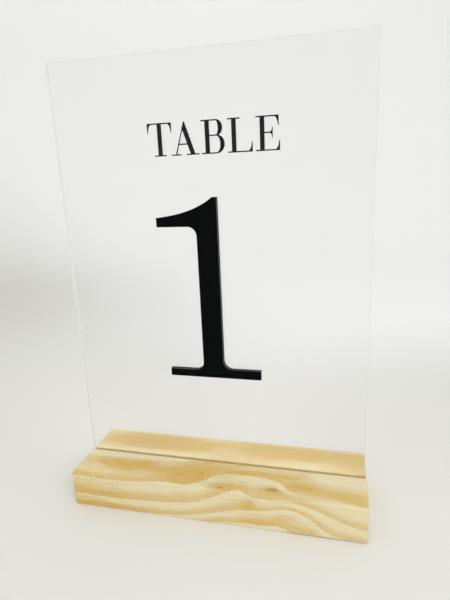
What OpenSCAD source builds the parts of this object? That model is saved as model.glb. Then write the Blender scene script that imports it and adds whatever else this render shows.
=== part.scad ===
// Table number holder: a clear acrylic sheet standing in a grooved pine bar,
// with a raised black number and a small word cut from black vinyl.
// X runs along the bar, Y runs from the front to the back, Z is up, and the
// origin is at the middle of the bar's underside. Millimetres.

/* [Base] */
// Length of the wooden bar
base_l = 150; // [120:1:240]
// Depth of the wooden bar from front to back
base_d = 48; // [40:1:80]
// Height of the wooden bar
base_h = 19; // [15:0.5:40]
// Radius of the planed edge along the top at the back
back_edge_r = 3; // [0.5:0.1:4]
// Radius of the two upright corners at the back
back_corner_r = 4; // [1:0.1:6]

/* [Groove] */
// Width of the groove, which runs right through the bar
groove_w = 3.3; // [3.1:0.1:3.6]
// Depth of the groove below the top of the bar
groove_depth = 9; // [6:0.5:12]
// How far the groove's centre line lies behind the bar's centre line
groove_y = 0; // [-2:0.1:4]

/* [Plate] */
// Width of the acrylic plate
plate_w = 148; // [110:1:210]
// Full height of the acrylic plate, with the part inside the groove
plate_h = 210; // [196:1:297]
// Thickness of the acrylic plate
plate_t = 3; // [2:0.1:3]
// Sideways offset of the plate on the bar
plate_x = -0.4; // [-1:0.1:1]

/* [Number] */
// Thickness of the raised number
number_t = 2; // [1:0.1:5]
// Thickness of the transfer tape behind the number
tape_t = 0.1; // [0.05:0.05:0.3]
// Height of the number's foot above the table
number_z = 68.8; // [40:0.1:80]
// Height of the number
number_h = 88.5; // [80:0.1:92]

/* [Word] */
// Thickness of the vinyl
vinyl_t = 0.1; // [0.1:0.05:0.3]
// Height of the word's baseline above the table
word_z = 176.1; // [165:0.1:180]
// Left end of the word
word_x = -26.7; // [-40:0.1:-20]
// Gap between the letters, where their shapes don't tuck together
letter_gap = 1.4; // [0.8:0.1:2]

/* [Hidden] */

// A cut that has to pass a face runs past it by this much
past = 1;

// Plate
plate_z = base_h - groove_depth;
plate_front = groove_y - plate_t / 2;

// Number, measured from its foot up and from the plate's middle across
number_back = plate_front - tape_t;
stem_left = -5.45;
stem_right = 4.9;
foot_left = -22.9;
foot_right = 23.4;
foot_left_h = 4;
foot_right_h = 4.65;
bracket_left_r = 4;
bracket_right_r = 4.6;
flag_tip_x = -25;
flag_tip_z = number_h - 8.9;
flag_under_z = number_h - 13.2;
flag_armpit_r = 4.5;
flag_top_x = 2.6;
flag_bend = [-6.5, number_h - 7.1];

// Letters: high-contrast roman capitals
cap_h = 14.4;
stem_w = 2.05;
hair = 0.55;
beak_h = 4.2;
beak_w = 2.3;
beak_tip = 0.35;
serif_out = 1.8;
t_w = 11.6;
a_w = 13.2;
b_w = 10.7;
l_w = 11.1;
e_w = 10.5;

// Left end of each letter. The A tucks under the T and the B under the A.
t_x = word_x;
a_x = t_x + t_w - 0.4;
b_x = a_x + a_w + letter_gap - 0.4;
l_x = b_x + b_w + letter_gap;
e_x = l_x + l_w + letter_gap;

// Points of a curve from a to c that is pulled towards b
function bend(a, b, c, n = 10) =
    [for (i = [0:n]) let (t = i / n) a * (1 - t) * (1 - t) + b * 2 * t * (1 - t) + c * t * t];

// Points of an arc about a centre, by angle in degrees
function arc(centre, rx, rz, from, to, n = 12) =
    [for (i = [0:n]) let (w = from + (to - from) * i / n) centre + [rx * cos(w), rz * sin(w)]];

// Stands a flat outline up in the XZ plane: its back face lies at y = back
module upright(thickness, back) {
    translate([0, back, 0])
        rotate([90, 0, 0])
            linear_extrude(thickness)
                children();
}

// Cross-section of the bar: square at the front, planed round at the back
module bar_section() {
    half = base_d / 2;
    polygon(concat(
        [[-half, 0], [half, 0]],
        arc([half - back_edge_r, base_h - back_edge_r], back_edge_r, back_edge_r, 0, 90, 8),
        [[-half, base_h]]
    ));
}

// Outline of the bar from above, with the two back corners rounded
module bar_plan() {
    half_l = base_l / 2;
    half_d = base_d / 2;
    in = back_corner_r;
    translate([-half_l, -half_d])
        square([base_l, base_d - in]);
    translate([in - half_l, -half_d])
        square([base_l - 2 * in, base_d]);
    for (side = [-1, 1])
        translate([side * (half_l - in), half_d - in])
            circle(r = in, $fn = 48);
}

module wooden_base() {
    color("burlywood")
        difference() {
            intersection() {
                translate([-base_l / 2, 0, 0])
                    rotate([90, 0, 90])
                        linear_extrude(base_l)
                            bar_section();
                linear_extrude(base_h)
                    bar_plan();
            }
            translate([-base_l / 2 - past, groove_y - groove_w / 2, plate_z])
                cube([base_l + 2 * past, groove_w, groove_depth + past]);
        }
}

module acrylic_plate() {
    color([0.9, 0.95, 0.95, 0.3])
        translate([plate_x - plate_w / 2, plate_front, plate_z])
            cube([plate_w, plate_t, plate_h]);
}

// Outline of the number 1: slab foot, straight stem and a swept flag
module number_outline() {
    polygon(concat(
        [[foot_left, 0], [foot_right, 0], [foot_right, foot_right_h]],
        arc([stem_right + bracket_right_r, foot_right_h + bracket_right_r],
            bracket_right_r, bracket_right_r, 270, 180),
        [[stem_right, number_h]],
        bend([flag_top_x, number_h], flag_bend, [flag_tip_x, flag_tip_z], 16),
        [[flag_tip_x, flag_under_z]],
        arc([stem_left - flag_armpit_r, flag_under_z - flag_armpit_r],
            flag_armpit_r, flag_armpit_r, 90, 0),
        arc([stem_left - bracket_left_r, foot_left_h + bracket_left_r],
            bracket_left_r, bracket_left_r, 0, -90),
        [[foot_left, foot_left_h]]
    ));
}

module numeral_one() {
    color([0.05, 0.05, 0.06])
        translate([0, 0, number_z])
            upright(number_t, number_back)
                number_outline();
}

module numeral_adhesive() {
    color([0.25, 0.25, 0.25])
        translate([0, 0, number_z])
            upright(tape_t, plate_front)
                number_outline();
}

// Hairline from x0 to x1, lying on z
module hairline(x0, x1, z) {
    translate([x0, z])
        square([x1 - x0, hair]);
}

// Full-height thick stem with its left side at x
module stem(x) {
    translate([x, 0])
        square([stem_w, cap_h]);
}

// Outline of the pointed terminal on the right end of a hairline whose outer
// side lies on z. up = 1 stands on a bottom hairline, up = -1 hangs from a top one.
function beak_outline(x, z, up) = concat(
    [[x - beak_w, z], [x, z], [x, z + up * beak_h]],
    bend([x - beak_tip, z + up * beak_h], [x - 2 * beak_tip, z + up * hair], [x - beak_w, z + up * hair / 2])
);

module standing_beak(x) {
    polygon(beak_outline(x, 0, 1));
}

module hanging_beak(x) {
    points = beak_outline(x, cap_h, -1);
    polygon([for (i = [len(points) - 1:-1:0]) points[i]]);
}

// Short upright serif on the end of a middle arm whose centre is at z
module arm_serif(x, z) {
    half = 2.2;
    depth = 1.3;
    polygon(concat(
        [[x, z - half], [x, z + half], [x - beak_tip, z + half]],
        bend([x - beak_tip, z + half], [x - beak_tip, z + hair / 2], [x - depth, z + hair / 2], 6),
        bend([x - depth, z - hair / 2], [x - beak_tip, z - hair / 2], [x - beak_tip, z - half], 6)
    ));
}

// Stands one letter on the plate
module on_plate(x) {
    color([0.12, 0.12, 0.13])
        translate([x, 0, word_z])
            upright(vinyl_t, plate_front)
                children();
}

module letter_t() {
    stem_x = (t_w - stem_w) / 2;
    on_plate(t_x) {
        stem(stem_x);
        hairline(stem_x - serif_out, stem_x + stem_w + serif_out, 0);
        hairline(beak_tip, t_w - beak_tip, cap_h - hair);
        hanging_beak(t_w);
        translate([0, cap_h])
            rotate(180)
                standing_beak(0);
    }
}

module letter_a() {
    apex_left = 6.15;
    apex_right = 6.6;
    thin_foot = 1.85;
    thin_w = 0.62;
    thick_foot = 11.35;
    thick_w = 2.2;
    // Height at which the inner side of the thick leg reaches the thin leg
    slope_thin = (apex_left - thin_foot) / cap_h;
    slope_thick = (thick_foot - apex_right) / cap_h;
    join_z = (thick_foot - thick_w - thin_foot) / (slope_thin + slope_thick);
    bar_z = 4.5;
    thin_serif_end = 4.6;
    thick_serif_start = 7.1;
    on_plate(a_x) {
        polygon([
            [thick_foot - thick_w, 0],
            [thick_foot, 0],
            [apex_right, cap_h],
            [apex_left, cap_h],
            [thin_foot + slope_thin * join_z, join_z],
        ]);
        polygon([
            [thin_foot, 0],
            [thin_foot + thin_w, 0],
            [apex_right, cap_h],
            [apex_left, cap_h],
        ]);
        hairline(thin_foot + slope_thin * bar_z, thick_foot - thick_w - slope_thick * bar_z + hair, bar_z);
        hairline(0, thin_serif_end, 0);
        hairline(thick_serif_start, a_w, 0);
    }
}

// Bowl of the B between two heights: thick at its right side, thin above and below
module bowl(x, z0, z1, reach) {
    thick = 2;
    middle = (z0 + z1) / 2;
    rz = (z1 - z0) / 2;
    straight = 3.6;
    difference() {
        polygon(concat(
            [[x, z0]],
            arc([x + straight, middle], reach - x - straight, rz, -90, 90, 20),
            [[x, z1]]
        ));
        polygon(concat(
            [[x - past, z0 + hair]],
            arc([x + straight, middle], reach - x - straight - thick, rz - hair, -90, 90, 20),
            [[x - past, z1 - hair]]
        ));
    }
}

module letter_b() {
    waist = 7.5;
    upper_reach = b_w - 0.9;
    on_plate(b_x) {
        stem(serif_out);
        hairline(0, serif_out + hair, 0);
        hairline(0, serif_out + hair, cap_h - hair);
        bowl(serif_out + stem_w - hair, 0, waist + hair, b_w);
        bowl(serif_out + stem_w - hair, waist, cap_h, upper_reach);
    }
}

module letter_l() {
    on_plate(l_x) {
        stem(serif_out);
        hairline(0, 2 * serif_out + stem_w, cap_h - hair);
        hairline(0, l_w - beak_tip, 0);
        standing_beak(l_w);
    }
}

module letter_e() {
    arm_z = 7.5;
    arm_x = 7.4;
    top_w = e_w - 0.5;
    on_plate(e_x) {
        stem(serif_out);
        hairline(0, top_w - beak_tip, cap_h - hair);
        hanging_beak(top_w);
        hairline(serif_out, arm_x, arm_z - hair / 2);
        arm_serif(arm_x, arm_z);
        hairline(0, e_w - beak_tip, 0);
        standing_beak(e_w);
    }
}

wooden_base();
acrylic_plate();
numeral_one();
numeral_adhesive();
letter_t();
letter_a();
letter_b();
letter_l();
letter_e();
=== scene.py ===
import math

import bmesh
import bpy
import numpy as np
from mathutils import Matrix, Vector


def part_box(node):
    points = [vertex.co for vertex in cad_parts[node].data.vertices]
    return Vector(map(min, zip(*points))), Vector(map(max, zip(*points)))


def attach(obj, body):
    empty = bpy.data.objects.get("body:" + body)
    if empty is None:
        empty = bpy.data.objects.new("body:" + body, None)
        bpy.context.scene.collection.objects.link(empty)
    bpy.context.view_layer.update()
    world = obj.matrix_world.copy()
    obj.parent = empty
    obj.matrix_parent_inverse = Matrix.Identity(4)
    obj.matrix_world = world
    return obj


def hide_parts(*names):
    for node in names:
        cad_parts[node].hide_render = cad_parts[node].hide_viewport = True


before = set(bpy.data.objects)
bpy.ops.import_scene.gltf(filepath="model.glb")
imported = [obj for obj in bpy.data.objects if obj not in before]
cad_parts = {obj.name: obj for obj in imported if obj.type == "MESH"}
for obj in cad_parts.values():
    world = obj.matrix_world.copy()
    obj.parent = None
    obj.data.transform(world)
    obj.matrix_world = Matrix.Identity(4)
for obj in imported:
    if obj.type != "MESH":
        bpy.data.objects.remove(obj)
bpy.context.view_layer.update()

# Table number holder: a clear acrylic sheet standing in a grooved pine bar.
# Lengths are millimetres in the CAD's frame until a mesh is built, then metres.
MM = 0.001


# ---------------------------------------------------------------- camera

CAMERA_AT = Vector((61.94, -214.26, 166.95))
CAMERA_AIM = Vector((6.04, 0, 108.3))
CAMERA_ROLL = math.radians(-2.483)
CAMERA_LENS = 28.415


def make_camera():
    data = bpy.data.cameras.new("camera")
    data.lens = CAMERA_LENS
    data.sensor_width = 36.0
    data.clip_start = 0.01
    data.clip_end = 20.0
    camera = bpy.data.objects.new("camera", data)
    level = (CAMERA_AIM - CAMERA_AT).to_track_quat("-Z", "Y").to_matrix().to_4x4()
    roll = Matrix.Rotation(CAMERA_ROLL, 4, "Z")
    camera.matrix_world = Matrix.Translation(CAMERA_AT * MM) @ level @ roll
    bpy.context.scene.collection.objects.link(camera)
    bpy.context.scene.camera = camera


# ---------------------------------------------------------------- shader helpers


class Graph:
    """The node tree of one new material."""

    def __init__(self, name):
        self.material = bpy.data.materials.new(name)
        self.material.use_nodes = True
        self.tree = self.material.node_tree
        self.tree.nodes.clear()

    def add(self, kind, inputs=None, **settings):
        node = self.tree.nodes.new("ShaderNode" + kind)
        for key, value in settings.items():
            setattr(node, key, value)
        for key, value in (inputs or {}).items():
            self.put(node.inputs[key], value)
        return node

    def put(self, socket, value):
        if isinstance(value, bpy.types.NodeSocket):
            self.tree.links.new(value, socket)
        else:
            socket.default_value = value

    def attribute(self, name):
        """A number kept at the mesh's points."""
        return self.add("Attribute", attribute_name=name).outputs["Fac"]

    def math(self, operation, a, b=0.0, c=0.0, clamp=False):
        return self.add("Math", {0: a, 1: b, 2: c}, operation=operation, use_clamp=clamp).outputs[0]

    def spread(self, value, low, high, to_low=0.0, to_high=1.0):
        """value's range from low to high, smoothly brought to another range."""
        inputs = {0: value, 1: low, 2: high, 3: to_low, 4: to_high}
        return self.add("MapRange", inputs, interpolation_type="SMOOTHSTEP").outputs[0]

    def mix(self, share, a, b):
        node = self.add("Mix", {"Factor": share}, data_type="RGBA")
        self.put(node.inputs[6], a)
        self.put(node.inputs[7], b)
        return node.outputs[2]

    def stretched(self, x, y, z):
        """Place on the object, in units of x, y and z millimetres."""
        place = self.add("TexCoord").outputs["Object"]
        scale = (1 / (x * MM), 1 / (y * MM), 1 / (z * MM))
        return self.add("Mapping", {"Vector": place, "Scale": scale}).outputs[0]

    def noise(self, vector, detail=2.0, roughness=0.5):
        inputs = {"Vector": vector, "Scale": 1.0, "Detail": detail, "Roughness": roughness}
        return self.add("TexNoise", inputs).outputs["Fac"]

    def ramp(self, value, stops):
        """A value that follows given stops of (position, value)."""
        node = self.add("ValToRGB", {"Fac": value})
        elements = node.color_ramp.elements
        while len(elements) < len(stops):
            elements.new(0.5)
        for element, (position, level) in zip(elements, stops):
            element.position = position
            element.color = (level, level, level, 1)
        return node.outputs["Color"]

    def spot(self, x, y, z, along, across, high, strength):
        """strength within an uneven round spot about a point of the object, 0 outside it."""
        place = self.add("TexCoord").outputs["Object"]
        size = (along * MM, across * MM, high * MM)
        shift = tuple(-c * MM / r for c, r in zip((x, y, z), size))
        inputs = {"Vector": place, "Scale": tuple(1 / r for r in size), "Location": shift}
        away = self.add("VectorMath", {0: self.add("Mapping", inputs).outputs[0]}, operation="LENGTH")
        ragged = self.math("MULTIPLY_ADD", self.noise(self.stretched(1.2, 0.6, 0.6), detail=1), 0.9, -0.45)
        return self.spread(self.math("ADD", away.outputs["Value"], ragged), 0.75, 1.15, strength, 0)

    def finish(self, shader):
        output = self.add("OutputMaterial")
        self.tree.links.new(shader, output.inputs["Surface"])
        return self.material


def srgb(red, green, blue):
    """Linear colour of an 8-bit display colour."""
    parts = [c / 255 for c in (red, green, blue)]
    return tuple(c / 12.92 if c <= 0.04045 else ((c + 0.055) / 1.055) ** 2.4 for c in parts) + (1.0,)


# ---------------------------------------------------------------- wood figure

# A growth ring starts at a whole number with its dark, hard edge, and pales
# towards the next one. On the front face each line gives the height of one
# ring number along the bar, as (x, height).
FRONT_RINGS = [
    (-2, [(-75, -8), (-30, -7), (-10, -2.6), (0, -0.1), (10, 1.6), (20, 2.2),
          (26, 2.1), (32, 2.9), (36, 2.2), (40, 0), (46, -4), (75, -7)]),
    (-1.5, [(-75, -3), (-30, -2.6), (-10, 0.4), (0, 3), (10, 4.9), (20, 5.6), (28, 7.4), (35, 9.6),
            (40, 9.6), (45, 7.6), (50, 4), (55, 0.6), (62, -1.6), (75, -2.4)]),
    (-1, [(-75, -0.6), (-45, -0.1), (-30, 0.5), (-20, 1.3), (-10, 2.8), (0, 5.4), (10, 8.3),
          (20, 9.9), (27, 10.5), (35, 12.6), (40, 12.9), (45, 11.4), (50, 8.2), (55, 4.2),
          (60, 1.9), (75, 0.9)]),
    (-0.5, [(-75, 3.4), (-45, 3.3), (-30, 3.8), (-20, 4.3), (-10, 6), (0, 9.2), (10, 13.8),
            (16, 15.6), (22, 14.2), (30, 13.9), (37, 15.1), (45, 13.9), (50, 11.7), (55, 8.5),
            (60, 5.5), (68, 3.7), (75, 3.3)]),
    (0, [(-75, 7.1), (-45, 6.9), (-30, 7.6), (-15, 9.1), (-8, 10.5), (0, 14.1), (8, 18.3),
         (13, 20.2), (17, 19.3), (21, 17.8), (28, 17.2), (36, 17.7), (43, 16.8), (50, 14.8),
         (60, 11.1), (70, 7.7), (75, 7)]),
    (0.5, [(-75, 12.8), (-50, 12.5), (-30, 12.9), (-20, 14.2), (-10, 16), (0, 19.6), (10, 23.4),
           (20, 22), (28, 21.6), (36, 21.6), (43, 20.6), (50, 18.4), (60, 15), (70, 12), (75, 11.2)]),
    (1, [(-75, 17.9), (-50, 17.7), (-38, 18.2), (-28, 20.2), (-10, 22), (5, 26), (20, 26),
         (35, 26.5), (50, 23), (60, 20.5), (75, 19.8)]),
]
# On the top face the rings lie almost flat. Each line from front to back
# gives (x, distance behind the front face, ring number).
TOP_LINES = [
    [(-75, 1, 1.25), (-50, 1, 1.28), (-38, 0.8, 1.2), (-28, 0.5, 0.97), (-10, 0.8, 0.9),
     (-4, 2, 0.7), (0, 2.4, 0.3), (5, 2.6, 0.08), (12, 3.2, 0.05), (16, 3.4, 0.05),
     (20, 2.5, 0.15), (25, 3.5, 0.2), (30, 4.6, 0.08), (35, 3.6, 0.4), (40, 3.2, 0.55),
     (48, 3, 0.6), (55, 2.2, 0.85), (65, 1.2, 0.98), (75, 0.2, 1)],
    [(-75, 4, 1.46), (-45, 3.5, 1.46), (-36, 2.5, 1.4), (-29, 1.7, 1.05), (-20, 1.4, 1),
     (-10, 1.8, 1), (-4, 6.5, 1), (0, 10.8, 1), (5, 13, 1), (13, 14, 1), (22, 13.7, 1),
     (30, 12.3, 1), (34, 10, 1), (37, 6.8, 1), (45, 5.6, 1), (55, 4.6, 1), (65, 2.4, 1),
     (75, 0.7, 1)],
    [(-75, 9.5, 1.46), (-65, 9.3, 1.45), (-60, 8.4, 1.38), (-50, 6.8, 1.38), (-40, 6.3, 1.38),
     (-33, 5, 1.36), (-28, 3.4, 1.2), (-22, 3, 1.08), (-10, 3.6, 1.05), (-4, 8.2, 1.05),
     (0, 12.2, 1.05), (5, 14.2, 1.05), (13, 15, 1.05), (22, 14.7, 1.06), (30, 13.4, 1.07),
     (35, 11, 1.05), (40, 8.2, 1.04), (50, 7.3, 1.05), (60, 5.5, 1.1), (75, 2.5, 1.2)],
    [(-75, 11.3, 1.42), (-68, 11.3, 1.36), (-61, 11, 1.2), (-50, 11, 1.1), (-35, 11, 1.14),
     (-20, 9.5, 1.1), (-8, 11, 1.05), (0, 15, 1.1), (8, 16, 1.15), (20, 16, 1.25),
     (30, 15, 1.28), (38, 11, 1.12), (45, 9.4, 1.06), (55, 8.2, 1.2), (75, 5, 1.35)],
    [(-75, 16.3, 1.34), (-62, 16.3, 1.3), (-50, 17.2, 1.33), (-40, 17.3, 1.33), (-30, 17.2, 1.3),
     (-20, 18.2, 1.34), (-12, 19.8, 1.28), (-5, 20.6, 1.25), (3, 18.3, 1.33), (10, 18, 1.36),
     (20, 19.6, 1.38), (30, 18.2, 1.33), (40, 15.8, 1.32), (50, 13, 1.35), (60, 11.3, 1.38),
     (75, 7.5, 1.4)],
    [(-75, 19, 1.7), (-50, 19.3, 1.7), (-35, 19.5, 1.65), (-20, 20.7, 1.6), (-12, 21.3, 1.42),
     (-5, 21.6, 1.3), (3, 20.5, 1.42), (10, 20.5, 1.42), (20, 21.2, 1.45), (30, 20.5, 1.46),
     (45, 19, 1.46), (52, 18, 1.6), (60, 17, 1.75), (70, 15, 1.65), (75, 14, 1.58)],
    [(-75, 22.4, 1.75), (-25, 22.4, 1.7), (-14, 22.4, 1.5), (-6, 22.4, 1.33), (5, 22.4, 1.36),
     (18, 22.4, 1.44), (48, 22.4, 1.5), (60, 22.4, 1.7), (75, 22.4, 1.6)],
    [(-75, 26.3, 1.6), (-40, 26.3, 1.7), (-12, 26.3, 1.62), (0, 26.3, 1.47), (15, 26.3, 1.48),
     (30, 26.3, 1.54), (50, 26.3, 1.56), (60, 26.3, 1.42), (75, 26.3, 1.36)],
    [(-75, 29.4, 1.5), (-40, 29.8, 1.56), (-12, 30.2, 1.5), (0, 30, 1.45), (15, 30, 1.48),
     (30, 30.6, 1.52), (50, 31, 1.5), (60, 30, 1.4), (75, 30, 1.35)],
    [(-75, 33, 1.42), (-66, 33, 1.34), (-50, 33, 1.24), (-28, 33, 1.26), (-12, 33.5, 1.35),
     (-4, 34, 1.44), (12, 34, 1.45), (20, 34, 1.38), (32, 34, 1.32), (50, 34, 1.36), (75, 34, 1.32)],
    [(-75, 40, 1.45), (-60, 41, 1.33), (-45, 41, 1.26), (-25, 41, 1.28), (-10, 41, 1.38),
     (4, 41, 1.46), (20, 41, 1.4), (32, 41.5, 1.33), (50, 41.5, 1.34), (70, 41.5, 1.34),
     (75, 41, 1.42)],
    [(-75, 45, 1.52), (75, 45, 1.52)],
    [(-75, 48, 1.64), (75, 48, 1.64)],
]


def through(points, x, column=1):
    """Value at x of a smooth line through points."""
    at = np.array([p[0] for p in points], float)
    value = np.array([p[column] for p in points], float)
    slope = np.gradient(value, at)
    i = np.clip(np.searchsorted(at, x) - 1, 0, len(at) - 2)
    width = at[i + 1] - at[i]
    t = np.clip((x - at[i]) / width, 0, 1)
    rise = t * t * (3 - 2 * t)
    bow = t * (1 - t) * width * ((1 - t) * slope[i] - t * slope[i + 1])
    return value[i] * (1 - rise) + value[i + 1] * rise + bow


def loft(places, numbers, at):
    """Value between lines at the given places, lowest first. It runs on past the outer lines."""
    out = None
    for k in range(len(places) - 1):
        share = (at - places[k]) / (places[k + 1] - places[k])
        part = numbers[k] + share * (numbers[k + 1] - numbers[k])
        out = part if out is None else np.where(at > places[k], part, out)
    return out


def ring_number(x, behind, z, top):
    """Growth-ring number anywhere in the bar: the front's rings, carried back as the top's."""
    starts = [through(points, x) for _, points in FRONT_RINGS]
    numbers = [number for number, _ in FRONT_RINGS]
    at_edge = loft(starts, numbers, np.full_like(x, top))
    places = [np.zeros_like(x)] + [through(line, x) for line in TOP_LINES]
    values = [at_edge] + [through(line, x, 2) for line in TOP_LINES]
    return loft(places, values, behind) + loft(starts, numbers, z) - at_edge


# Soft patches as (x, distance behind the front face, height, reach along the
# bar, reach across it, strength). Where the hard wood is more golden:
GOLDEN = [
    (-75, 0, 6, 34, 14, 0.95),
    (-48, 12, 19, 22, 6, 1.0),
    (-14, 10, 19, 18, 9, 1.0),
    (12, 16, 19, 24, 4, 0.85),
    (19, 0, 13, 3.2, 3.5, 1.0),
    (22, 0, 3, 9, 3, 0.75),
    (8, 3, 19, 9, 3, 0.95),
    (30, 5, 19, 6, 3.5, 1.0),
    (45, 9, 19, 9, 3.5, 1.0),
    (36, 17, 19, 9, 3, 0.6),
    (65, 6, 19, 14, 5, 0.4),
    (0, 42, 19, 90, 12, 0.2),
    (-62, 0, 4, 24, 9, 1.0),
]
# Where the wood is darker, or paler if the strength is below 0:
TONES = [
    (-58, 0, 1.4, 26, 1.9, 0.4),
    (-60, 20, 19, 16, 2.6, -0.25),
    (-70, 0, 15.3, 26, 2.6, 0.42),
    (-70, 0, 5.3, 20, 2, 0.4),
    (-46, 0, 5.3, 12, 1.6, 0.2),
    (-10, 14, 19, 8, 4.5, 0.18),
    (-50, 12.5, 19, 7, 1.6, 0.12),
    (-5, 5.5, 19, 4, 4, 0.3),
    (4, 10.5, 19, 7, 3, 0.42),
    (20, 0, 7.5, 10, 2, 0.34),
    (20, 0, 15.5, 5, 2, 0.38),
    (40, 0, 6, 7, 3, -0.18),
    (50, 0, 1.5, 4, 2.5, 0.4),
    (33, 0, 5.5, 6, 2.6, 0.25),
    (35, 0, 8.2, 5, 1.3, 0.3),
    (-6, 0, 16.5, 7, 2.5, -0.2),
    (53, 4.8, 19, 18, 3.1, 0.8),
    (70, 8, 19, 11, 4.5, 0.25),
    (60, 17.5, 19, 11, 4, -0.3),
    (24, 16.5, 19, 5, 2, 0.1),
    (-44, 37, 19, 30, 7.5, 0.8),
    (32, 39, 19, 42, 7, 0.54),
    (-5, 36, 19, 16, 8, 0.15),
    (-36, 7, 19, 9, 2.4, -0.12),
    (-26, 17, 19, 7, 2.2, -0.3),
]
# Where the saw left pale strokes on the front, or dark ones below 0:
SAWN = [
    (-58, 0, 15.5, 18, 2.6, 0.85),
    (-28, 0, 15.5, 16, 3, 0.8),
    (-6, 0, 14, 9, 5, 0.35),
    (11, 0, 16, 7, 3.5, -0.3),
    (34, 0, 17.5, 15, 2.6, -0.7),
    (-4, 5, 19, 5, 3.5, -0.6),
    (60, 0, 12, 16, 4, 0.45),
    (-50, 0, 5, 22, 2.5, 0.3),
    (-35, 0, 10, 20, 2.5, 0.25),
]


def patches(table, x, behind, z):
    """Soft patches together: the strongest of each sign at every point."""
    dark = np.zeros_like(x)
    pale = np.zeros_like(x)
    for px, pd, pz, along, across, strength in table:
        away = ((x - px) / along) ** 2 + ((behind - pd) / across) ** 2 + ((z - pz) / across) ** 2
        share = strength * np.exp(-away)
        dark = np.maximum(dark, share)
        pale = np.minimum(pale, share)
    return dark + pale


PINE_PALE = srgb(228, 216, 179)
PINE_TAN = srgb(215, 189, 130)
PINE_GOLD = srgb(213, 178, 97)
PINE_AMBER = srgb(207, 166, 80)
PINE_RESIN = srgb(211, 172, 92)
PINE_KNOT = srgb(172, 149, 98)
PINE_BROWN = srgb(150, 128, 88)
# Sawn wood in the groove, its deeper, darker colour a painted shade
PINE_GROOVE_SHADE = srgb(217, 182, 106)

# Small marks as (x, y, z, reach along x, reach along y, reach along z, strength)
KNOT = (30.5, -18.8, 19, 3.1, 1.35, 2, 0.85)
MARKS = [
    (5.3, -21.7, 19, 1.5, 0.5, 0.6, 0.9),
    (-7, -12.4, 19, 0.7, 0.5, 0.6, 0.8),
    (-8, -16, 19, 0.6, 0.5, 0.6, 0.6),
    (-7.2, -2.9, 19, 1.1, 0.35, 0.6, 0.8),
    (-4, -3.1, 19, 1.0, 0.4, 0.6, 0.7),
    (48, -15.2, 19, 0.3, 1.0, 0.6, 0.7),
    (27.6, -20.2, 19, 0.6, 0.5, 0.6, 0.5),
    (-18, -20.8, 19, 2.2, 0.3, 0.5, 0.35),
    (-46, -15, 19, 2.6, 0.3, 0.5, 0.3),
]
RESIN = [
    (40.3, -24, 13.3, 1.7, 1, 0.6, 0.8),
    (36.3, -24, 9.3, 3.2, 1, 0.35, 0.5),
    (23, -24, 4.9, 2.4, 1, 0.4, 0.6),
    (60.8, -14.7, 19, 0.4, 0.4, 1, 0.7),
    (33.5, -6.5, 19, 0.7, 0.5, 1, 0.5),
    (20, -24, 12.3, 2.2, 1, 2.0, 0.45),
]
# Hardness from one ring's dark edge to the next, as (share of the ring, hardness)
RING_HARDNESS = [(0, 0.6), (0.015, 1), (0.25, 0.92), (0.42, 0.6), (0.62, 0.1), (0.985, 0), (1, 0.6)]
# Slant of the saw's strokes, and the distance from one to the next
STROKE_TURN = math.radians(37)
STROKE_PITCH = 1.9
# The groove's walls and floor lie within this distance of the middle, and get a painted
# shade from the top edge down
IN_GROOVE = 1.7
TOP_EDGE = 18.9
DEEP = 17.9


def ring_hardness(g, ring, fray):
    """1 in the dark, hard wood of a growth ring and 0 in the pale, with frayed, wavy edges."""
    wave = g.noise(g.stretched(22, 7, 7), detail=1)
    frayed = g.math("MULTIPLY_ADD", fray, 0.09, -0.045)
    waved = g.math("MULTIPLY_ADD", wave, 0.08, -0.04)
    shifted = g.math("ADD", g.math("ADD", ring, frayed), waved)
    age = g.math("FRACT", g.math("ADD", shifted, 10))
    return g.ramp(age, RING_HARDNESS)


def saw_strokes(g, place, sawn):
    """Slanting strokes of the saw: below 0 where the wood looks paler."""
    turned = g.math("MULTIPLY", place[0], math.sin(STROKE_TURN))
    stroke_at = g.math("MULTIPLY_ADD", place[2], math.cos(STROKE_TURN), turned)
    wander = g.math("MULTIPLY", g.noise(g.stretched(6, 6, 6), detail=1), 4)
    phase = g.math("MULTIPLY_ADD", stroke_at, 2 * math.pi / STROKE_PITCH, wander)
    depth = g.noise(g.stretched(1.6, 3, 1.6), detail=1)
    stroke = g.math("MULTIPLY", g.spread(g.math("SINE", phase), 0, 1), g.spread(depth, 0.38, 0.58))
    return g.math("MULTIPLY", g.math("MULTIPLY", stroke, sawn), -1.2)


def with_marks(g, colour):
    """The colour with the resin, the small marks and the knot on it."""
    for mark in RESIN:
        colour = g.mix(g.spot(*mark), colour, PINE_RESIN)
    for mark in MARKS:
        colour = g.mix(g.spot(*mark), colour, PINE_BROWN)
    return g.mix(g.spot(*KNOT), colour, PINE_KNOT)


def with_painted_groove_shade(g, colour, place, end):
    """The colour with that of the groove: freshly sawn wood, made deeper and darker there by painted shade.
    """
    low = g.spread(place[2], TOP_EDGE, DEEP)
    inside = g.math("MULTIPLY", g.math("LESS_THAN", g.math("ABSOLUTE", place[1]), IN_GROOVE), low)
    inside = g.math("MULTIPLY", inside, g.math("SUBTRACT", 1, end))
    return g.mix(inside, colour, PINE_GROOVE_SHADE)


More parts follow.
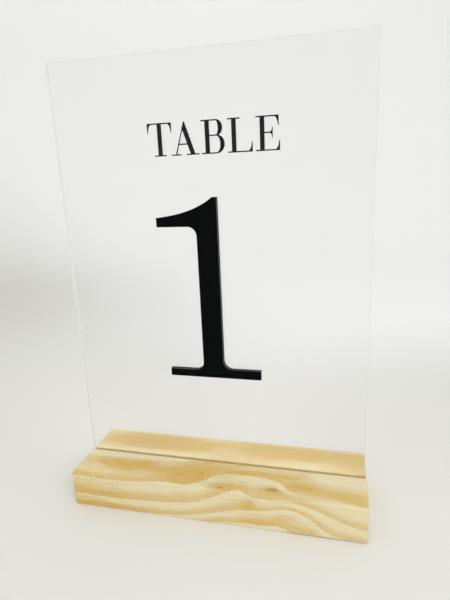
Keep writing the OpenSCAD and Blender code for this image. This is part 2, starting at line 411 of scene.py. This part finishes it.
def make_pine():
    g = Graph("pine")
    ring = g.attribute("ring")
    gold = g.attribute("gold")
    tone = g.attribute("tone")
    place = g.add("SeparateXYZ", {0: g.stretched(1, 1, 1)}).outputs
    facing = g.add("SeparateXYZ", {0: g.add("TexCoord").outputs["Normal"]}).outputs
    end = g.spread(g.math("ABSOLUTE", facing[0]), 0.6, 0.9)
    fray = g.noise(g.stretched(14, 0.8, 0.8), detail=3)
    hardness = ring_hardness(g, ring, fray)
    # Streaks that follow the rings, finer fibres and soft blotches
    along = g.add("SeparateXYZ", {0: g.stretched(26, 1, 1)}).outputs[0]
    across = g.math("MULTIPLY", ring, 9)
    streak = g.noise(g.add("CombineXYZ", {0: along, 1: across}).outputs[0], detail=3, roughness=0.6)
    streaks = g.spread(streak, 0.3, 0.7, -0.13, 0.13)
    fibres = g.spread(g.noise(g.stretched(24, 0.45, 0.45), detail=2), 0.3, 0.7, -0.09, 0.09)
    blotches = g.spread(g.noise(g.stretched(9, 2, 2), detail=4), 0.3, 0.7, -0.1, 0.1)
    strokes = saw_strokes(g, place, g.attribute("sawn"))
    for part in (tone, streaks, fibres, blotches, strokes):
        hardness = g.math("ADD", hardness, part)
    # End grain is harder to see and a little darker all over
    at_end = g.math("MULTIPLY_ADD", hardness, 0.7, 0.28)
    hardness = g.add("Mix", {"Factor": end, 2: hardness, 3: at_end}).outputs[0]
    hardness = g.math("ADD", hardness, 0, clamp=True)
    colour = g.mix(hardness, PINE_PALE, g.mix(gold, PINE_TAN, PINE_GOLD))
    # Painted shade behind the groove: the darker wood there is mixed a little further towards brown
    behind = g.spread(place[1], 1, 6, 0, 0.3)
    colour = g.mix(g.math("MULTIPLY", tone, behind, clamp=True), colour, PINE_BROWN)
    # Amber flecks where the hard wood is golden
    fleck = g.spread(g.noise(g.stretched(7, 1.1, 1.1), detail=4, roughness=0.65), 0.42, 0.6, 0, 0.8)
    colour = g.mix(g.math("MULTIPLY", fleck, g.math("MULTIPLY", gold, hardness)), colour, PINE_AMBER)
    # Resin canals: short brown dashes where the wood is golden
    canal = g.spread(g.noise(g.stretched(1.5, 0.22, 0.22), detail=1), 0.70, 0.76)
    colour = g.mix(g.math("MULTIPLY", canal, g.math("MULTIPLY", gold, 0.5)), colour, PINE_BROWN)
    colour = with_marks(g, colour)
    # Pores on the ends
    pore = g.spread(g.noise(g.stretched(0.5, 0.3, 0.3), detail=2), 0.5, 0.75)
    colour = g.mix(g.math("MULTIPLY", g.math("MULTIPLY", end, pore), 0.5), colour, PINE_BROWN)
    colour = with_painted_groove_shade(g, colour, place, end)
    rough = g.math("ADD", g.spread(streak, 0.2, 0.8, 0.5, 0.62), g.math("MULTIPLY", end, 0.15))
    shader = g.add("BsdfPrincipled", {"Base Color": colour, "Roughness": rough})
    shader.inputs["Specular IOR Level"].default_value = 0.3
    height = g.math("ADD", fray, g.math("MULTIPLY", g.math("ABSOLUTE", strokes), 0.3))
    height = g.math("SUBTRACT", height, g.math("MULTIPLY", canal, 0.4))
    bump = g.add("Bump", {"Height": height, "Distance": 0.0001, "Strength": 0.6})
    g.tree.links.new(bump.outputs[0], shader.inputs["Normal"])
    return g.finish(shader.outputs[0])


# ---------------------------------------------------------------- wooden bar

BACK_EDGE_R = 3.0
BACK_CORNER_R = 4.0
GROOVE_MIDDLE = 0.0
GROOVE_WIDTH = 3.3
EASE = 0.3
# The top edges of both ends are rounded this much more behind the groove
END_EASE = 0.8
# The part of the right end behind the groove was cut this much shorter
END_STEP = 0.45
# Towards the right the front edge of the underside clears the table by this much
LIFTED = 0.5
# Unevenness of the sawn ends, and depth of the nicks along their edges and the front arris
CUT_ROUGHNESS = 0.12
END_NICK = 0.3
ARRIS_NICK = 0.16
# The bar's mesh has points this far apart
MESH_STEP = 0.8


def graded(low, high, fine=(0.0, 0.12, 0.3, 0.6)):
    """Places from low to high, closer together near both ends."""
    inner = np.linspace(low + 1, high - 1, max(2, round((high - low - 2) / MESH_STEP) + 1))
    near = [low + d for d in fine]
    far = [high - d for d in reversed(fine)]
    return np.concatenate([near, inner, far])


def shell(xs, ys, zs, solid):
    """Corner numbers and quads of the closed skin round the cells of a lattice that are solid."""
    shape = (len(xs), len(ys), len(zs))
    number = np.arange(np.prod(shape)).reshape(shape)
    padded = np.pad(solid, 1)
    quads = []
    for axis in range(3):
        a = np.moveaxis(padded, axis, 0)
        turn = -1 if axis == 1 else 1
        before = a[:-1, 1:-1, 1:-1]
        after = a[1:, 1:-1, 1:-1]
        corners = np.moveaxis(number, axis, 0)
        for mask, outward in ((before & ~after, 1), (~before & after, -1)):
            i, j, k = np.nonzero(mask)
            loop = [corners[i, j, k], corners[i, j + 1, k], corners[i, j + 1, k + 1], corners[i, j, k + 1]]
            if outward * turn < 0:
                loop.reverse()
            quads.append(np.stack(loop, 1))
    quads = np.concatenate(quads)
    used, quads = np.unique(quads, return_inverse=True)
    i, j, k = np.unravel_index(used, shape)
    return np.stack([xs[i], ys[j], zs[k]], 1), quads.reshape(-1, 4)


def rounded(points, a, b, corner_a, corner_b, radius):
    """Rounds a square edge along the third axis. Each corner is (place, side) on its own axis."""
    place_a, side_a = corner_a
    place_b, side_b = corner_b
    centre_a = place_a - side_a * radius
    centre_b = place_b - side_b * radius
    da = (points[:, a] - centre_a) * side_a
    db = (points[:, b] - centre_b) * side_b
    near = (da > 0) & (db > 0)
    da, db = da[near], db[near]
    squeeze = np.maximum(da, db) / np.hypot(da, db)
    points[near, a] = centre_a + side_a * da * squeeze
    points[near, b] = centre_b + side_b * db * squeeze


def rolled(points, high, end_radius):
    """Rounds the top rim along both ends and the back, and round the back corners."""
    x, y, z = points.T.copy()
    out_x = np.maximum(np.abs(x) - (high.x - BACK_CORNER_R), 0)
    out_y = np.maximum(y - (high.y - BACK_CORNER_R), 0)
    reach = np.maximum(np.hypot(out_x, out_y), 1e-6)
    toward_x, toward_y = out_x / reach, out_y / reach
    radius = end_radius + (BACK_EDGE_R - end_radius) * toward_y ** 2
    over = reach - (BACK_CORNER_R - radius)
    rise = z - (high.z - radius)
    near = (over > 0) & (rise > 0)
    over, rise = np.where(near, over, 1), np.where(near, rise, 0)
    squeeze = np.maximum(over, rise) / np.hypot(over, rise)
    inward = over * (1 - squeeze)
    points[:, 0] -= np.sign(x) * toward_x * inward
    points[:, 1] -= toward_y * inward
    points[:, 2] -= rise * (1 - squeeze)


def smooth(value, low, high):
    t = np.clip((value - low) / (high - low), 0, 1)
    return t * t * (3 - 2 * t)


def rumple(a, b, size):
    """Smooth uneven number between 0 and 1 for places a, b about size apart."""
    a, b = a / size, b / size
    waves = np.sin(1.9 * a + 1.3 * b) + np.sin(3.1 * a - 2.3 * b + 1) + np.sin(5.3 * b + 0.7 * a + 2)
    return 0.5 + waves / 6


def roughen(points, low, high):
    """Uneven saw cuts: rough ends, nicked arrises and a gap under the right of the front edge."""
    x, y, z = points.T.copy()
    for side in (-1, 1):
        near = side * x > high.x - 0.4
        to_edge = np.minimum(np.minimum(z - low.z, high.z - z), y - low.y)
        nick = END_NICK * smooth(rumple(y, z, 1.1), 0.55, 0.9) * (1 - smooth(to_edge, 0, 1.2))
        cut = CUT_ROUGHNESS * rumple(y, z, 2.5) + nick
        points[near, 0] -= (side * cut * smooth(to_edge, -1, 0.5))[near]
    behind_groove = smooth(y, GROOVE_MIDDLE - GROOVE_WIDTH / 2 - 0.5, GROOVE_MIDDLE)
    points[:, 0] -= END_STEP * behind_groove * smooth(x, high.x - 6, high.x)
    front_arris = (y < low.y + 0.7) & (z > high.z - 0.7)
    points[front_arris, 2] -= (ARRIS_NICK * smooth(rumple(x, z, 2.2), 0.55, 0.95))[front_arris]
    under = (1 - smooth(z, low.z, low.z + 1.2)) * (1 - smooth(y, low.y + 1.5, low.y + 5))
    points[:, 2] += LIFTED * under * smooth(x, 28, 45)


def mesh_object(name, points, faces, material):
    """A smooth-shaded object from points in millimetres."""
    mesh = bpy.data.meshes.new(name)
    mesh.from_pydata((np.asarray(points, float) * MM).tolist(), [], faces)
    mesh.materials.append(material)
    mesh.polygons.foreach_set("use_smooth", [True] * len(mesh.polygons))
    mesh.update()
    thing = bpy.data.objects.new(name, mesh)
    bpy.context.scene.collection.objects.link(thing)
    return thing


def make_bar(pine):
    low, high = (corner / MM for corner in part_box("wooden_base"))
    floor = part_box("acrylic_plate")[0].z / MM
    wall_front = GROOVE_MIDDLE - GROOVE_WIDTH / 2
    wall_back = GROOVE_MIDDLE + GROOVE_WIDTH / 2
    xs = graded(low.x, high.x)
    ys = np.concatenate([
        graded(low.y, wall_front),
        graded(wall_front, wall_back, fine=(0.0, 0.3))[1:-1],
        graded(wall_back, high.y),
    ])
    zs = np.concatenate([graded(low.z, floor), graded(floor, high.z)[1:]])
    mid_x, mid_y, mid_z = ((v[1:] + v[:-1]) / 2 for v in (xs, ys, zs))
    cell = np.meshgrid(mid_x, mid_y, mid_z, indexing="ij")
    in_groove = (cell[1] > wall_front) & (cell[1] < wall_back) & (cell[2] > floor)
    points, quads = shell(xs, ys, zs, ~in_groove)
    x, y, z = points.T.copy()
    behind = y - low.y
    figure = {
        "ring": ring_number(x, behind, z, high.z),
        "gold": patches(GOLDEN, x, behind, z),
        "tone": patches(TONES, x, behind, z),
        "sawn": patches(SAWN, x, behind, z),
    }

    up, down = (high.z, 1), (low.z, -1)
    back, front = (high.y, 1), (low.y, -1)
    right, left = (high.x, 1), (low.x, -1)
    for end in (left, right):
        rounded(points, 0, 1, end, back, BACK_CORNER_R)
        rounded(points, 0, 1, end, front, EASE)
        rounded(points, 0, 2, end, down, EASE)
    rounded(points, 1, 2, back, down, EASE)
    rounded(points, 1, 2, front, up, EASE)
    rounded(points, 1, 2, front, down, EASE)
    rolled(points, high, EASE + END_EASE * smooth(y, wall_front, wall_back))
    roughen(points, low, high)

    bar = mesh_object("pine_bar", points, quads.tolist(), pine)
    for name, values in figure.items():
        bar.data.attributes.new(name, "FLOAT", "POINT").data.foreach_set("value", values.astype(np.float32))
    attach(bar, "base")
    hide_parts("wooden_base")


# ---------------------------------------------------------------- plate

PLATE_BEVEL = 0.25
# The plate's front face lies this far behind the tape and the letters
PLATE_SETBACK = 0.02


def make_acrylic():
    g = Graph("clear_acrylic")
    glass = g.add("BsdfPrincipled", {"Base Color": (0.972, 0.97, 0.972, 1), "Roughness": 0.01, "IOR": 1.49})
    glass.inputs["Transmission Weight"].default_value = 1.0
    glass.inputs["Specular IOR Level"].default_value = 0.3
    clear = g.add("BsdfTransparent", {"Color": (0.95, 0.95, 0.945, 1)})
    lamp = g.add("LightPath").outputs["Is Shadow Ray"]
    both = g.add("MixShader", {0: lamp, 1: glass.outputs[0], 2: clear.outputs[0]})
    return g.finish(both.outputs[0])


def make_cut_edge():
    """The sheet's sawn edges: the same acrylic, matt and milky."""
    g = Graph("acrylic_cut_edge")
    # Fine saw lines run across the thickness
    grain = g.noise(g.stretched(0.35, 9, 0.35), detail=3)
    colour = g.mix(g.spread(grain, 0.3, 0.7), srgb(243, 243, 236), srgb(252, 252, 247))
    rough = g.spread(grain, 0.3, 0.7, 0.25, 0.4)
    matt = g.add("BsdfPrincipled", {"Base Color": colour, "Roughness": rough, "IOR": 1.49})
    milky = g.add("BsdfTranslucent", {"Color": colour})
    shader = g.add("MixShader", {0: 0.65, 1: matt.outputs[0], 2: milky.outputs[0]})
    clear = g.add("BsdfTransparent", {"Color": (0.8, 0.8, 0.79, 1)})
    lamp = g.add("LightPath").outputs["Is Shadow Ray"]
    both = g.add("MixShader", {0: lamp, 1: shader.outputs[0], 2: clear.outputs[0]})
    return g.finish(both.outputs[0])


def make_plate(acrylic, cut_edge):
    low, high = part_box("acrylic_plate")
    low = low + Vector((0, PLATE_SETBACK, 0)) * MM
    bm = bmesh.new()
    bmesh.ops.create_cube(bm, size=1.0)
    for vertex in bm.verts:
        vertex.co = Vector(high[k] if vertex.co[k] > 0 else low[k] for k in range(3))
    bmesh.ops.bevel(bm, geom=bm.edges[:], offset=PLATE_BEVEL * MM, segments=2, profile=0.5, affect="EDGES")
    for face in bm.faces:
        face.material_index = 0 if abs(face.normal.y) > 0.9 else 1
    mesh = bpy.data.meshes.new("clear_plate")
    bm.to_mesh(mesh)
    bm.free()
    mesh.materials.append(acrylic)
    mesh.materials.append(cut_edge)
    plate = bpy.data.objects.new("clear_plate", mesh)
    bpy.context.scene.collection.objects.link(plate)
    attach(plate, "sign")
    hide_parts("acrylic_plate")


# ---------------------------------------------------------------- number and word


EDGE_BEVEL = 0.12


def make_black_acrylic():
    g = Graph("black_acrylic")
    facing = g.add("SeparateXYZ", {0: g.add("TexCoord").outputs["Normal"]}).outputs[1]
    forward = g.math("ABSOLUTE", facing)
    side = g.spread(forward, 0.98, 0.9)
    # Painted highlight: the fine bevel between the front and the sides is coloured light grey below
    arris_highlight = g.math("MULTIPLY", side, g.spread(forward, 0.1, 0.3))
    # The cutter leaves fine upright lines on the greyed sides
    cut = g.noise(g.stretched(0.3, 3, 0.3), detail=2)
    grey = g.mix(g.spread(cut, 0.3, 0.7), srgb(42, 43, 43), srgb(64, 64, 63))
    colour = g.mix(arris_highlight, g.mix(side, srgb(5, 6, 7), grey), srgb(118, 118, 116))
    smudge = g.spread(g.noise(g.stretched(9, 9, 9), detail=3), 0.35, 0.7, 0.3, 0.42)
    rough = g.math("ADD", smudge, g.math("MULTIPLY", side, 0.2))
    shader = g.add("BsdfPrincipled", {"Base Color": colour, "Roughness": rough, "IOR": 1.49})
    shader.inputs["Specular IOR Level"].default_value = 0.04
    return g.finish(shader.outputs[0])


def make_vinyl():
    g = Graph("black_vinyl")
    grain = g.noise(g.stretched(0.35, 0.35, 0.35), detail=2)
    shader = g.add("BsdfPrincipled", {"Base Color": srgb(14, 15, 17), "Roughness": 0.42})
    shader.inputs["Specular IOR Level"].default_value = 0.25
    bump = g.add("Bump", {"Height": grain, "Distance": 0.00001, "Strength": 0.4})
    g.tree.links.new(bump.outputs[0], shader.inputs["Normal"])
    return g.finish(shader.outputs[0])


def make_tape():
    g = Graph("transfer_tape")
    shader = g.add("BsdfPrincipled", {"Base Color": srgb(26, 26, 27), "Roughness": 0.5})
    return g.finish(shader.outputs[0])


def dress(node, material):
    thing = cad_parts[node]
    thing.data.materials.clear()
    thing.data.materials.append(material)
    return thing


def break_edges(thing):
    """A fine bevel along the sharp edges, which catches the light."""
    weld = thing.modifiers.new("weld", "WELD")
    weld.merge_threshold = 0.005 * MM
    bevel = thing.modifiers.new("bevel", "BEVEL")
    bevel.width = EDGE_BEVEL * MM
    bevel.segments = 2
    bevel.limit_method = "ANGLE"
    bevel.angle_limit = math.radians(40)


# ---------------------------------------------------------------- stage


FLOOR_COLOUR = (0.775, 0.77, 0.73, 1)
WALL_COLOUR = (0.87, 0.87, 0.865, 1)
# The paper is painted darker and creamier round this place in front of the object, a painted shade, and
# whitens away from it
PAPER_SHADE_AT = (0, -120, 0)
# and has painted shadows in soft grey patches, as (x, y, turn, reach across, reach along, strength)
PAINTED_SHADOWS = [
    (-480, 340, 45, 320, 560, 0.34),
    (190, 150, 0, 160, 160, 0.17),
    (190, -60, 0, 150, 140, 0.1),
    (-70, -150, 0, 120, 100, 0.07),
]
SHADOW_GREY = (0.15, 0.15, 0.0, 1)
# The sweep: radius of the flat floor, radius of the curve, height and turns of the round wall
FLAT_R = 700
CURVE_R = 500
WALL_TOP = 1500
CURVE_STEPS = 16
TURNS = 96


def make_stage():
    g = Graph("paper")
    place = g.add("TexCoord").outputs["Object"]
    centre = tuple(c * MM for c in PAPER_SHADE_AT)
    away = g.add("VectorMath", {0: place, 1: centre}, operation="DISTANCE").outputs["Value"]
    # Painted shade: darker, creamier paper near the object, whiter further away
    colour = g.mix(g.spread(away, 0.15, 0.45), FLOOR_COLOUR, WALL_COLOUR)
    # Painted shadows: the paper is mixed towards grey in soft patches
    for x, y, turn, across, along, strength in PAINTED_SHADOWS:
        centre = (x * MM, y * MM, 0)
        beside = g.add("VectorMath", {0: place, 1: centre}, operation="SUBTRACT").outputs["Vector"]
        inputs = {"Vector": beside, "Angle": math.radians(-turn)}
        turned = g.add("VectorRotate", inputs, rotation_type="Z_AXIS").outputs[0]
        size = (across * MM, along * MM, 1)
        share = g.add("VectorMath", {0: turned, 1: size}, operation="DIVIDE").outputs["Vector"]
        reach = g.add("VectorMath", {0: share}, operation="LENGTH").outputs["Value"]
        colour = g.mix(g.spread(reach, 0, 1.3, strength, 0), colour, SHADOW_GREY)
    shader = g.add("BsdfPrincipled", {"Base Color": colour, "Roughness": 0.9})
    shader.inputs["Specular IOR Level"].default_value = 0.1
    paper = g.finish(shader.outputs[0])
    # A round sweep: flat floor, then a wide curve up to a wall
    profile = [(300, 0), (FLAT_R, 0)]
    for i in range(1, CURVE_STEPS + 1):
        w = math.radians(90 * i / CURVE_STEPS)
        profile.append((FLAT_R + CURVE_R * math.sin(w), CURVE_R - CURVE_R * math.cos(w)))
    profile.append((FLAT_R + CURVE_R, WALL_TOP))
    points = [(0, 0, 0)]
    for r, z in profile:
        for k in range(TURNS):
            a = 2 * math.pi * k / TURNS
            points.append((r * math.cos(a), r * math.sin(a), z))
    faces = [(0, 1 + k, 1 + (k + 1) % TURNS) for k in range(TURNS)]
    for row in range(len(profile) - 1):
        a = 1 + row * TURNS
        b = a + TURNS
        for k in range(TURNS):
            n = (k + 1) % TURNS
            faces.append((a + k, b + k, b + n, a + n))
    floor = mesh_object("floor", points, faces, paper)


ROOM_LIGHT = 1.04


def area_light(name, at, aim, size, power):
    data = bpy.data.lights.new(name, "AREA")
    data.shape = "DISK"
    data.size = size * MM
    data.energy = power
    light = bpy.data.objects.new(name, data)
    # The lamp's own disc shows in no reflection
    light.visible_glossy = False
    light.location = Vector(at) * MM
    light.rotation_euler = (Vector(aim) - Vector(at)).to_track_quat("-Z", "Y").to_euler()
    bpy.context.scene.collection.objects.link(light)


def make_light():
    world = bpy.data.worlds.new("studio")
    world.use_nodes = True
    background = world.node_tree.nodes["Background"]
    background.inputs[0].default_value = (1.0, 1.0, 1.0, 1.0)
    background.inputs[1].default_value = ROOM_LIGHT
    bpy.context.scene.world = world
    area_light("key", (420, -560, 580), (0, 0, 40), 480, 3.0)
    area_light("wall", (-120, 450, 900), (-300, 1200, 500), 500, 0.85)


bpy.context.scene.view_settings.view_transform = "Standard"
make_camera()
make_stage()
make_light()
make_bar(make_pine())
make_plate(make_acrylic(), make_cut_edge())
break_edges(dress("numeral_one", make_black_acrylic()))
dress("numeral_adhesive", make_tape())
vinyl = make_vinyl()
for letter in "table":
    dress("letter_" + letter, vinyl)
